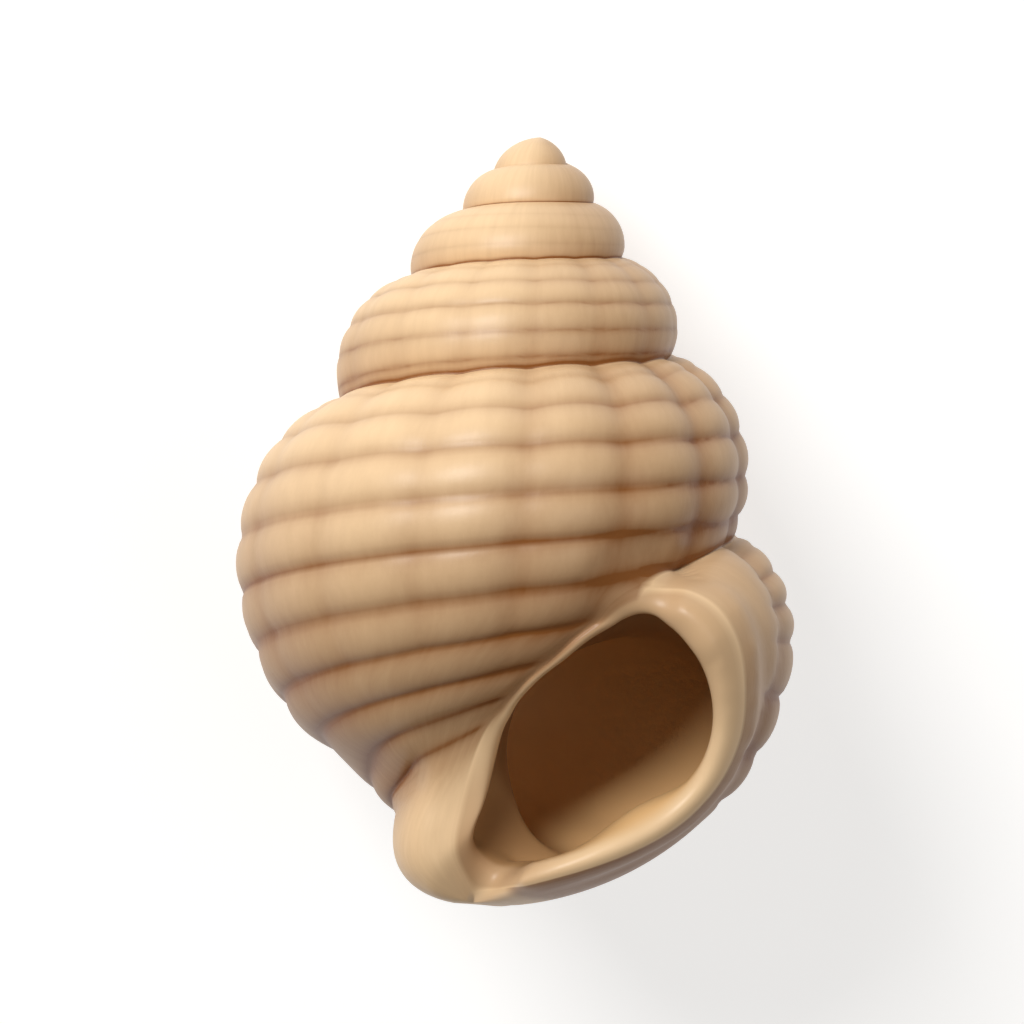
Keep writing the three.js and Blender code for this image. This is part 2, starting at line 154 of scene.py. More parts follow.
# How it lies: the direction that ends up on top, and the point that comes to the origin, which is
# known once the shell is laid.
REST_UP = np.array([0.2007, -0.8880, -0.4137])
REST_FOOT = np.zeros(3)


# The growth laws, as whole arrays
def smooth(low, high, x):
    """Goes from 0 at low to 1 at high along 3t^2 - 2t^3."""
    t = np.clip((x - low) / (high - low), 0, 1)
    return t * t * (3 - 2 * t)


def curve(x, xs, ys):
    """A smooth line through a few measured points: cubic pieces with central-difference slopes."""
    xs, ys = np.asarray(xs, float), np.asarray(ys, float)
    slopes = np.gradient(ys, xs)
    x = np.clip(x, xs[0], xs[-1])
    k = np.clip(np.searchsorted(xs, x, side="right") - 1, 0, len(xs) - 2)
    width = xs[k + 1] - xs[k]
    t = (x - xs[k]) / width
    return ((2 * t ** 3 - 3 * t ** 2 + 1) * ys[k] + (t ** 3 - 2 * t ** 2 + t) * width * slopes[k]
            + (3 * t ** 2 - 2 * t ** 3) * ys[k + 1] + (t ** 3 - t ** 2) * width * slopes[k + 1])


def azimuth_of(turn):
    """The azimuth round the axis, in radians: one full circle for each turn."""
    return np.radians(LIP_AZIMUTH + 360 * turn)


def opening(turn):
    """The first turn widens from nothing: 1 minus the cube of what is left of it."""
    t = np.clip(turn - FIRST_TURN, 0, 1)
    return 1 - (1 - t) ** 3


def widest(turn):
    """Radius and drop of the widest line: exponentials of the turn, slowed near the lip."""
    slow = np.maximum(0, turn - SLOW_FROM) ** 2
    slim = (1 - APEX_SHRINK * (1 - smooth(*APEX_TURNS, turn))
            - FIRST_SHRINK * (1 - smooth(*FIRST_TURNS, turn)))
    thin = LATE_THINNING * np.maximum(0, turn + 1)
    grown = turn - GROWTH_MARK
    radius = WIDEST_RADIUS * np.exp(RADIUS_RATE * grown - RADIUS_SLOWING * slow - thin)
    drop = WIDEST_DROP * np.exp(DROP_RATE * grown - DROP_SLOWING * slow)
    return radius * slim * opening(turn), drop


def lowest_drop(turn):
    """Drop at which a whorl's outline would reach the axis."""
    last = SHELL_LENGTH - END_RISE * np.minimum(turn, 0) ** 2
    return np.where(turn > -1, last, (SHELL_LENGTH - END_RISE) * SUTURE_RATIO ** (turn + 1))


def rib_wave(turn):
    """Rounded ribs: the absolute sine of the azimuth, with sharp valleys."""
    place_on_turn = (LIP_AZIMUTH + 360 * turn - RIB_PHASE) * RIBS_PER_TURN / 360
    return np.abs(np.sin(np.pi * place_on_turn)) ** RIB_SHARPNESS


def rib_size(turn):
    """Ribs start on the third whorl, and swing round their mean size with the azimuth's cosine."""
    return smooth(*RIB_TURNS, turn) * (RIB_MEAN - RIB_SWING * np.cos(azimuth_of(turn) - WEAK_RIBS_AT))


def suture_at(turn):
    """Drop of the suture: a power of the turn, scalloped by the ribs."""
    law = SUTURE_DROP * SUTURE_RATIO ** turn
    shifts = (LAST_SUTURE_DIP * smooth(-0.10, 0, turn)
              - FIRST_SUTURE_RISE * (1 - smooth(-4.0, -3.0, turn)))
    start = smooth(FIRST_TURN + 0.95, FIRST_TURN + 1.5, turn)
    scallop = SCALLOP * widest(turn)[0] * rib_size(turn) * (rib_wave(turn) - 0.5)
    return (law + shifts) * start - scallop


def pillar_at(turn):
    """Radius of the central pillar, which grows with the whorls up to the last turn."""
    return PILLAR_RADIUS * np.exp(RADIUS_RATE * np.minimum(0, turn + 1))


def lower_radius(turn, drop):
    """Radius below the widest line: a superellipse joined to the pillar by a smooth maximum, which
    fades in below the line, less the waist, a bell round one place on the last turn."""
    radius, wide_drop = widest(turn)
    x = np.clip((drop - wide_drop) / (lowest_drop(turn) - wide_drop), 0, 1)
    whorl = radius * (1 - x ** LOWER_POWER) ** (1 / LOWER_POWER)
    y = np.clip((drop - (SHELL_LENGTH - PILLAR_ROUNDING)) / PILLAR_ROUNDING, 0, 1)
    pillar = pillar_at(turn) * (1 - y ** PILLAR_POWER) ** (1 / PILLAR_POWER) * opening(turn)
    blend = PILLAR_BLEND * pillar / pillar_at(turn) * smooth(0, 0.6, x)
    drawn_in = WAIST_DEPTH * np.exp(-((drop - WAIST_DROP) / WAIST_HEIGHT) ** 2
                                    - ((turn - WAIST_TURN) / WAIST_TURNS) ** 2)
    return (whorl + pillar + np.hypot(whorl - pillar, blend)) / 2 - drawn_in


def station_on_lower(turn, drop):
    """The station, in cords below the widest line, at a given drop."""
    _, wide_drop = widest(turn)
    x = np.clip((drop - wide_drop) / (lowest_drop(turn) - wide_drop), 0, 1)
    angle = np.degrees(np.arcsin(x ** (LOWER_POWER / 2)))
    return (np.sqrt(CORD_START ** 2 + 4 * CORD_TAPER * angle) - CORD_START) / (2 * CORD_TAPER)


def cord_wave(station):
    """Rounded cords with narrow grooves: the absolute sine of the station."""
    wave = np.abs(np.sin(np.pi * (station + CORD_PHASE))) ** CORD_SHARPNESS
    plain = (station + CORD_PHASE < TOP_STATION + 0.5) | (station + CORD_PHASE > LAST_CORD + 0.1)
    return np.where(plain, 1.0, wave)


def relief(turn, station, sizes):
    """Height of cords and ribs over the plain outline."""
    cord_size = smooth(*CORD_TURNS, turn) * (0.45 + 0.55 * smooth(-2.6, -1.5, station))
    last_cord = smooth(-0.7, 0.2, station) * (1 - smooth(-1.5, -1.2, turn))
    ribs = rib_size(turn) * (rib_wave(turn) - 0.6) * (1 - smooth(1.0, 4.5, station))
    wave = cord_wave(station)
    cords = cord_size * (wave + (1 - wave) * last_cord - 0.7)
    return widest(turn)[0] * (sizes.cord_height * cords + sizes.rib_height * ribs)


def suture_radius(turn, sizes):
    """The suture lies on the whorl before it."""
    drop = suture_at(turn)
    before = turn - 1
    over = relief(before, station_on_lower(before, drop), sizes)
    radius = lower_radius(before, drop) + SUTURE_BITE * over
    return np.where(turn < FIRST_TURN + 1, 0.0, radius)


def outline(turn, station, sizes):
    """Radius and drop of a whorl's plain outline: quarter ellipse above, superellipse below."""
    radius, wide_drop = widest(turn)
    psi = (1 - np.minimum(station, 0) / TOP_STATION) * np.pi / 2
    start_radius, start_drop = suture_radius(turn, sizes), suture_at(turn)
    rise = SHOULDER_ROUNDNESS * np.cos(psi) + (1 - SHOULDER_ROUNDNESS) * (1 - psi / (np.pi / 2))
    upper_radius = start_radius + (radius - start_radius) * np.sin(psi)
    upper_drop = wide_drop - (wide_drop - start_drop) * rise
    q = np.clip(station, 0, LAST_CORD)
    angle = np.radians(CORD_START * q + CORD_TAPER * q * q)
    cord_drop = wide_drop + (lowest_drop(turn) - wide_drop) * np.sin(angle) ** (2 / LOWER_POWER)
    to_tip = np.clip((station - LAST_CORD) / (TIP_STATION - LAST_CORD), 0, 1)
    drop = cord_drop + (SHELL_LENGTH - cord_drop) * np.sin(to_tip * np.pi / 2)
    above = station < 0
    return np.where(above, upper_radius, lower_radius(turn, drop)), np.where(above, upper_drop, drop)


def from_inner_lip(turn, station, radius):
    """Distance over the skin from the inner lip, in millimetres, for the start of the last turn,
    and a large number behind the lip."""
    edge = -1 + curve(station, INNER_STATIONS, INNER_LEANS) / 360
    return np.where(turn < edge - 0.001, 99.0, (turn - edge) * 2 * np.pi * radius)


def calm(turn, station):
    """Relief fades on the thick lip, on its lower end and close to the inner lip."""
    lower = smooth(2.0, 4.5, station)
    lip = 1 - smooth(-0.13 - 0.18 * lower, -0.09 - 0.12 * lower, turn)
    beside = smooth(0.2, 2.2, from_inner_lip(turn, station, widest(turn)[0] * 0.6))
    return lip * (1 - smooth(1.9, 2.2, station) * (1 - beside))


def lobe_rounding(turn, station, radius):
    """The thick lower end of the inner lip turns down into the mouth, by the square of nearness."""
    far = from_inner_lip(turn, station, np.maximum(radius, LEAST_RADIUS))
    on_lobe = smooth(6.0, 6.9, station) * (1 - smooth(7.6, 8.3, station))
    return -LOBE_ROUNDING * np.clip(1 - far / LOBE_REACH, 0, 1) ** 2 * on_lobe


def lip_swell(turn, station, radius):
    """The outer lip swells just before its edge, with a shallow dip behind: two bells of distance."""
    lean = curve(station, OUTER_STATIONS, OUTER_LEANS)
    far = (lean / 360 - turn) * 2 * np.pi * radius
    swell = (LIP_SWELL * np.exp(-((far - SWELL_BEHIND) / SWELL_WIDTH) ** 2)
             - LIP_DIP * np.exp(-((far - DIP_BEHIND) / SWELL_WIDTH) ** 2))
    along_lip = smooth(-3.6, -2.0, station) * (1 - smooth(4.0, 6.5, station))
    return swell * along_lip * smooth(-0.5, -0.3, turn)


def raised(turn, station, sizes):
    """The outline pushed out along its own normal by the relief, calm near the lip."""
    step = 0.02
    r0, d0 = outline(turn, np.clip(station - step, TOP_STATION, TIP_STATION), sizes)
    r1, d1 = outline(turn, np.clip(station + step, TOP_STATION, TIP_STATION), sizes)
    radius, drop = outline(turn, station, sizes)
    length = np.hypot(r1 - r0, d1 - d0) + 1e-9
    off_suture = smooth(TOP_STATION, TOP_STATION + 0.7, station)
    lift = calm(turn, station) * relief(turn, station, sizes) * off_suture
    lift = lift + lobe_rounding(turn, station, radius) + lip_swell(turn, station, radius)
    return radius + lift * (d1 - d0) / length, drop - lift * (r1 - r0) / length


def slanted(turn, station):
    """How far growth lines lean, in turns: back with the outer lip, on with the inner lip."""
    out = curve(station, OUTER_STATIONS, OUTER_LEANS)
    back = curve(station, INNER_STATIONS, INNER_LEANS)
    return (out * smooth(-0.40, 0, turn) + back * (1 - smooth(-1, -0.55, turn))) / 360


def place(azimuth, radius, drop):
    """From the half plane to the shell's own frame, with the lean of the spire."""
    x = radius * np.cos(azimuth)
    y = -radius * np.sin(azimuth)
    above = np.maximum(0, BEND_START - drop)
    return np.stack([x, y, -drop - x * BEND_RATE * above], -1)


def rest_axes():
    """The world's X, Y and Z in the shell's own frame, as rows."""
    up = REST_UP / np.linalg.norm(REST_UP)
    side = np.array([1.0, 0, 0]) - up[0] * up
    side /= np.linalg.norm(side)
    return np.stack([side, np.cross(up, side), up])


def laid(points):
    """From the shell's own frame, in millimetres, to the world where it lies, in metres."""
    turned = points @ rest_axes().T
    low, high = turned.min(0), turned.max(0)
    REST_FOOT[:] = (low[0] + high[0]) / 2, (low[1] + high[1]) / 2, low[2]
    return (turned - REST_FOOT) * MM


# The mouth and the hollow behind it
def mouth_axes():
    """The directions across, down and out of the mouth, in the shell's own frame."""
    t, b = MOUTH_ROLL, MOUTH_PITCH
    across = np.array([math.cos(t), -math.sin(t) * math.sin(b), math.sin(t) * math.cos(b)])
    down = np.array([math.sin(t), math.cos(t) * math.sin(b), -math.cos(t) * math.cos(b)])
    return across, down, np.array([0, -math.cos(b), -math.sin(b)])


def spread_bearings(across, down):
    """Bearings round the mouth's centre, kept in order and stretched to one full turn."""
    bearing = np.unwrap(np.arctan2(down, across))
    least = 0.003 * np.arange(len(bearing) + 1)
    closed = np.append(bearing, bearing[0] - 2 * np.pi)
    ordered = np.minimum.accumulate(closed + least) - least
    return bearing[0] - (ordered[:-1] - ordered[0]) / (ordered[-1] - ordered[0]) * 2 * np.pi


def beside(bearing, centre, width):
    """A bell round one bearing, all in radians: exp(-(the angle from the centre / width)^2)."""
    angle = np.mod(bearing - centre + np.pi, 2 * np.pi) - np.pi
    return np.exp(-(angle / width) ** 2)


def hole_reach(bearing, distances):
    """Distance of the hollow's wall from its centre: a closed spline through even bearings."""
    count = len(distances)
    at = (bearing / (2 * np.pi) * count) % count
    k = np.floor(at).astype(int)
    t = at - k
    p = [distances[(k + shift) % count] for shift in (-1, 0, 1, 2)]
    a = -p[0] + 3 * p[1] - 3 * p[2] + p[3]
    b = 2 * p[0] - 5 * p[1] + 4 * p[2] - p[3]
    return (2 * p[1] + (p[2] - p[0]) * t + b * t * t + a * t ** 3) / 2


def hollow_centre(turn):
    """Radius and drop of the hollow's middle, as shares of the whorl's outline at this turn."""
    radius, wide_drop = widest(turn)
    return POCKET_CENTRE[0] * radius, wide_drop + (lowest_drop(turn) - wide_drop) * POCKET_CENTRE[1]


def hollow_ring(bearing, depth):
    """A ring of the hollow's wall this many turns behind the lip, narrowing as it coils back."""
    turn = LIP_SHIFT / 360 - depth
    radius, drop = hollow_centre(turn)
    narrowed = 1 - POCKET_NARROWING * smooth(0.1, 0.5, depth)
    reach = hole_reach(bearing, DEEP_EDGE) * widest(turn)[0] * narrowed
    azimuth = azimuth_of(turn) + 0 * bearing
    return place(azimuth, radius + reach * np.cos(bearing), drop + reach * np.sin(bearing))


def cubic(start, leave, end, arrive, shares):
    """Loops on the way from one loop to another: a cubic with the given slopes at its ends."""
    s = shares[:, None, None]
    return ((2 * s ** 3 - 3 * s ** 2 + 1) * start + (s ** 3 - 2 * s ** 2 + s) * leave
            + (3 * s ** 2 - 2 * s ** 3) * end + (s ** 3 - s ** 2) * arrive)


def unit(vectors):
    """Each row's direction, with the length 1."""
    return vectors / (np.linalg.norm(vectors, axis=1)[:, None] + 1e-12)


def soften(values, reach):
    """Averages each row with its neighbours round a closed loop, the nearer ones counting more."""
    total = np.zeros_like(values)
    for shift in range(-reach, reach + 1):
        total += np.roll(values, shift, 0) * (reach + 1 - abs(shift))
    return total / (reach + 1) ** 2


# The mesh

# Rows to a turn, columns of the upper and the lower grid, rings of the lip and of the hollow, and
# the power that crowds the hollow's rings near the lip.  NO_COLUMN stands for the lower grid's.
ROWS_PER_TURN = 180
COLUMNS = 56
COLUMNS_BELOW = 90
LIP_STEPS = 16
POCKET_STEPS = 44
POCKET_CROWDING = 1.3
NO_COLUMN = -99

# The lip: how far it bulges, how it turns outwards beside the crease, on the lobe and on the outer
# side, and how near the tip, in millimetres from the axis, its strands turn straight out instead.
# It arrives at the hollow spreading a little, but turned to the middle on its low side, which is a
# bearing round the mouth and a width.
LIP_ROUNDNESS = 1.7
RIM_SOFTENING = 12
CREASE_STATIONS = (5.6, 6.8)
CREASE_OUTWARDS = 1.25
LOBE_OUTWARDS = 0.35
OUTER_OUTWARDS = 0.9
AT_TIP = 2
OUTER_TIP_REACH = 17
INNER_TIP_REACH = 9
TIP_DOWNWARDS = 0.15
TIP_FLATNESS = 0.45
PLAIN_SPREAD = 0.6
LOW_SIDE_TURN = 1.1
LOW_SIDE = (math.radians(65), math.radians(50))

# Where the skin is evened out, in the shell's own frame: round every fourth point of the rim from a
# little before the tip on, then the place, reach and number of passes for the tip, the lobe's top
# and the suture's end.
RIM_WEAR_FROM = COLUMNS_BELOW - 24
RIM_WEAR_EVERY = 4
RIM_WEAR_REACH = 2.2
RIM_WEAR_PASSES = 70
WORN_PLACES = (((0.8, -5.5, -83.0), 4.6, 380), ((-3.0, -9.0, -68.0), 5.0, 200),
               ((13.2, -20.5, -48.6), 4.2, 300))

# Shares of the painted brown shade, from 0 for the bare skin to 1 for the deepest crease, and where
# some of them lie: in millimetres from the inner lip, in columns and as azimuths.  Shade is painted
# into the grooves, the valleys between ribs, the base, the foot of each whorl, the suture, the band
# beside the inner lip, two sides of the body and the lip, and a painted highlight pales the top edge
# of each whorl.  The lip beside the lobe and the hollow's lit side are bearings round the mouth, each
# with a width.
GROOVE_PAINTED_SHADE = 0.54
VALLEY_PAINTED_SHADE = 0.35
BASE_PAINTED_SHADE = 0.48
FOOT_PAINTED_SHADE = 0.85
SIDE_PAINTED_SHADE = 0.33
LEFT_PAINTED_SHADE = 0.20
TOP_PAINTED_HIGHLIGHT = 0.30
PLAIN_TONE = 0.06
SUTURE_PAINTED_SHADE = 0.85
BAND_PAINTED_SHADE = 0.7
BAND_WIDTH = 1.3
FOOT_COLUMNS = 1.8
TOP_COLUMNS = 2.0
SIDE_AT = math.radians(15)
LEFT_AT = math.radians(188)
UPPER_LIP_PAINTED_SHADE = 0.42
LOBE_LIP_PAINTED_SHADE = 0.50
LOBE_LIP = (math.radians(135), math.radians(24))
LIT_SIDE = (math.radians(50), math.radians(75))

# Painted light on the mouth's wall: how pale it is on its dark side, and how much paler on its lit
# side, at the edge and deep in, and the height in millimetres that counts as much as one radian of
# growth.
EDGE_PAINTED_LIGHT = (0.1, 0.75)
DEEP_PAINTED_LIGHT = (0.66, 0.34)
GROWTH_HEIGHT = 60


def skin_grids(sizes):
    """The skin as two grids.  The upper one coils from the apex, each row reaching from its suture
    to the next whorl's; the lower one is the last turn from there down to the tip."""
    rows = int(round(-FIRST_TURN * ROWS_PER_TURN))
    turns = FIRST_TURN + np.arange(rows + 1) / ROWS_PER_TURN
    split = station_on_lower(np.array(-1.0), suture_at(np.array(0.0)))
    next_suture = station_on_lower(turns, suture_at(np.minimum(turns + 1, 0)))
    covered = np.where(turns <= -1, next_suture, split)
    upper = SimpleNamespace(fraction=np.arange(COLUMNS + 1) / COLUMNS)
    upper.stations = TOP_STATION + (covered[:, None] - TOP_STATION) * upper.fraction[None, :]
    upper.turns = np.repeat(turns[:, None], COLUMNS + 1, 1)
    lean = np.where(upper.turns >= -1, slanted(upper.turns, upper.stations), 0.0)
    upper.leaning = upper.turns + lean
    upper.points = place(azimuth_of(upper.leaning), *raised(upper.leaning, upper.stations, sizes))
    upper.points[:, 0] = place(azimuth_of(turns), suture_radius(turns, sizes), suture_at(turns))

    lower = SimpleNamespace()
    lower.turns = np.repeat(turns[rows - ROWS_PER_TURN:, None], COLUMNS_BELOW + 1, 1)
    down = split + (TIP_STATION - split) * np.arange(COLUMNS_BELOW + 1) / COLUMNS_BELOW
    lower.stations = np.repeat(down[None, :], ROWS_PER_TURN + 1, 0)
    lower.leaning = lower.turns + slanted(lower.turns, lower.stations)
    lower.points = place(azimuth_of(lower.leaning), *raised(lower.leaning, lower.stations, sizes))
    return upper, lower


def skin_numbers(upper, lower):
    """Point numbers of both grids, the same where they share a point: each upper row ends on the
    suture of the row one turn on, and the apex and the tip are single points."""
    n, m, k = ROWS_PER_TURN, COLUMNS, COLUMNS_BELOW
    open_row = len(upper.points) - 1 - n
    upper_ids = np.arange(len(upper.points) * (m + 1)).reshape(-1, m + 1)
    lower_ids = upper_ids.size + np.arange(len(lower.points) * (k + 1)).reshape(-1, k + 1)
    tip = lower_ids[0, k]
    upper_ids[: n + 1, 0] = upper_ids[0, 0]
    upper_ids[0, :] = upper_ids[0, 0]
    upper_ids[: open_row + 1, m] = upper_ids[n:, 0]
    lower_ids[:, 0] = upper_ids[open_row:, m]
    lower_ids[:, k] = tip
    return upper_ids, lower_ids


def rim_loop(upper, lower, rows_back):
    """The loop round the mouth, this many rows back from it: the suture's end, down the inner lip,
    the tip and up the outer lip."""
    outer = -1 - rows_back
    loop = np.concatenate([lower[rows_back, :COLUMNS_BELOW], lower[outer, ::-1],
                           upper[outer, COLUMNS - 1:0:-1]])
    loop[0] = upper[outer, 0]
    return loop


def hollow_edge(rim):
    """The hollow's edge as a loop that faces the rim: its bearings, and its points at MOUTH_EDGE's
    distances, EDGE_DEPTH behind the evened height of the rim."""
    across, down, out = mouth_axes()
    bearing = spread_bearings(rim @ across - MOUTH_CENTRE[0], rim @ down - MOUTH_CENTRE[1])
    reach = hole_reach(bearing, MOUTH_EDGE)
    height = soften((rim @ out)[:, None], RIM_SOFTENING)[:, 0] - EDGE_DEPTH
    edge = ((MOUTH_CENTRE[0] + reach * np.cos(bearing))[:, None] * across
            + (MOUTH_CENTRE[1] + reach * np.sin(bearing))[:, None] * down + height[:, None] * out)
    return bearing, edge


def lip_leaves(rim, behind, rim_stations):
    """How the lip leaves the skin: on along the skin and turning out, more so beside the crease,
    and almost straight out near the tip."""
    _, down, out = mouth_axes()
    along = unit(np.roll(rim, -1, 0) - np.roll(rim, 1, 0))
    leave = unit(rim - behind)
    leave -= (leave * along).sum(1)[:, None] * along
    leave[COLUMNS_BELOW] = 0
    crease = 1 - smooth(*CREASE_STATIONS, rim_stations)
    inner_outwards = LOBE_OUTWARDS + CREASE_OUTWARDS * crease
    outwards = np.where(rim_stations > TIP_STATION, OUTER_OUTWARDS, inner_outwards)
    leave = unit(soften(unit(leave) + outwards[:, None] * out, RIM_SOFTENING))
    tip_reach = np.where(np.arange(len(rim)) > COLUMNS_BELOW, OUTER_TIP_REACH, INNER_TIP_REACH)
    near_tip = (1 - smooth(AT_TIP, tip_reach, np.hypot(rim[:, 0], rim[:, 1])))[:, None]
    leave = leave * (1 - near_tip) + near_tip * (out + TIP_DOWNWARDS * down)
    return unit(leave) * (1 - TIP_FLATNESS * near_tip)


def into_hollow(bearing):
    """How the lip arrives at the hollow's edge: inwards, and on its low side towards the middle."""
    across, down, out = mouth_axes()
    towards = np.cos(bearing)[:, None] * across + np.sin(bearing)[:, None] * down
    to_middle = LOW_SIDE_TURN * beside(bearing, *LOW_SIDE) - PLAIN_SPREAD
    return unit(-out - to_middle[:, None] * towards)


def strips(ids):
    """Two triangles for each square of a grid of point numbers."""
    a, b, c, d = ids[:-1, :-1], ids[1:, :-1], ids[1:, 1:], ids[:-1, 1:]
    first = np.stack([a, b, d], -1).reshape(-1, 3)
    second = np.stack([b, c, d], -1).reshape(-1, 3)
    return np.concatenate([first, second])


def painted_shading_tone(turn, station, column):
    """Painted shade on the skin, as a brown tone: in grooves, in valleys between ribs, on the base, on
    the foot of each whorl, which lies in the last few columns, and on two sides of the body; a painted
    highlight makes the top edge of each whorl paler."""
    size = smooth(-3.6, -1.2, turn) * (0.35 + 0.65 * smooth(-3.0, -1.5, station))
    grooves = size * (1 - cord_wave(station)) ** 1.3
    valleys = rib_size(turn) * (1 - rib_wave(turn)) ** 1.2 * (1 - smooth(0.5, 4.0, station))
    base = smooth(-1.8, 4.0, station) * (1 - smooth(6.2, 7.0, station))
    foot = np.exp(-((COLUMNS - column) / FOOT_COLUMNS) ** 2) * (turn < -1)
    top = np.exp(-(np.maximum(column, 0) / TOP_COLUMNS) ** 2) * (column > 0)
    side = smooth(-0.2, 1.0, np.cos(azimuth_of(turn) - SIDE_AT))
    left = smooth(0.5, 1.0, np.cos(azimuth_of(turn) - LEFT_AT)) * smooth(-2.5, 0.0, station)
    calmed = calm(turn, station)
    return (GROOVE_PAINTED_SHADE * calmed * grooves + VALLEY_PAINTED_SHADE * calmed * valleys + BASE_PAINTED_SHADE * base
            + FOOT_PAINTED_SHADE * foot + SIDE_PAINTED_SHADE * side + LEFT_PAINTED_SHADE * left - TOP_PAINTED_HIGHLIGHT * top + PLAIN_TONE)


def skin_painted_shading(upper, lower):
    """Painted shade and highlight of both grids, and the painted shade of the band beside the inner
    lip alone.
    """
    upper_painted_shading = painted_shading_tone(upper.leaning, upper.stations, upper.fraction[None, :] * COLUMNS)
    # painted shade along the suture line
    upper_painted_shading[:, 0] = SUTURE_PAINTED_SHADE * smooth(-5.2, -4.2, upper.turns[:, 0])
    lower_painted_shading = painted_shading_tone(lower.leaning, lower.stations, np.full((1, 1), NO_COLUMN))
    from_axis = np.hypot(lower.points[..., 0], lower.points[..., 1])
    far = from_inner_lip(lower.leaning, lower.stations, np.maximum(from_axis, LEAST_RADIUS))
    # painted shade in the crease beside the inner lip's band
    band = BAND_PAINTED_SHADE * np.exp(-(far / BAND_WIDTH) ** 2) * (1 - smooth(5.2, 6.4, lower.stations))
    return upper_painted_shading, np.maximum(lower_painted_shading, band), band[0, :COLUMNS_BELOW]


def mouth_painted_shading(bearing, rim_painted_shade, lip_shares, depth):
    """Three values for each point of the lip's and the hollow's rings, ring by ring: the painted brown
    shade of the skin, how far inside the mouth it is, and how pale painted light makes the wall there."""
    lip, hollow = np.zeros((len(lip_shares), len(bearing), 3)), np.zeros((len(depth), len(bearing), 3))
    # painted shade on the lip: on its upper side and beside the lobe
    shaded = (PLAIN_TONE + UPPER_LIP_PAINTED_SHADE * np.maximum(0, -np.sin(bearing))
              + LOBE_LIP_PAINTED_SHADE * beside(bearing, *LOBE_LIP))
    lip[..., 0] = (shaded * smooth(0.0, 0.2, lip_shares)[:, None]
                   + rim_painted_shade * (1 - smooth(0.0, 0.3, lip_shares))[:, None])
    edge_starts = 0.84 - 0.3 * beside(bearing, *LOW_SIDE)[None, :]
    lip[..., 1] = smooth(edge_starts, 1.0, lip_shares[:, None])
    # painted light on the mouth's wall: paler on its lit side and deep in
    lit = beside(bearing, *LIT_SIDE)
    edge_painted_light = EDGE_PAINTED_LIGHT[0] + EDGE_PAINTED_LIGHT[1] * lit
    deep_painted_light = DEEP_PAINTED_LIGHT[0] + DEEP_PAINTED_LIGHT[1] * lit
    lip[..., 2] = edge_painted_light
    hollow[..., 1] = 1
    deeper = smooth(0.10, 0.34, depth)[:, None]
    hollow[..., 2] = edge_painted_light * (1 - deeper) + deep_painted_light * deeper
    return np.concatenate([lip, hollow])


def growth_places(grid):
    """A grid's place along growth: its azimuth's cosine and sine, and its drop."""
    azimuth = azimuth_of(grid.turns)
    drop = -grid.points[..., 2] / GROWTH_HEIGHT
    return np.stack([np.cos(azimuth), np.sin(azimuth), drop], -1).reshape(-1, 3)


def worn(points, faces, places, reach, passes):
    """Evens out the skin round some places: each point moves towards the mean of its neighbours by
    a share that falls off as exp(-(distance / reach)^4), over and over."""
    distance = np.full(len(points), np.inf)
    for spot in places:
        distance = np.minimum(distance, np.linalg.norm(points - spot, axis=1))
    share = 0.5 * np.exp(-(distance / reach) ** 4)
    links = np.concatenate([faces[:, [0, 1]], faces[:, [1, 2]], faces[:, [2, 0]]])
    links = links[share[links[:, 0]] > 0.001]
    moving = np.unique(links[:, 0])
    slot = np.zeros(len(points), dtype=int)
    slot[moving] = np.arange(len(moving))
    start, end = slot[links[:, 0]], links[:, 1]
    count = np.bincount(start, minlength=len(moving))[:, None]
    pull = share[moving][:, None]
    points = points.copy()
    for _ in range(passes):
        near = points[end]
        mean = np.stack([np.bincount(start, near[:, i], len(moving)) for i in range(3)], -1) / count
        points[moving] += (mean - points[moving]) * pull
    return points


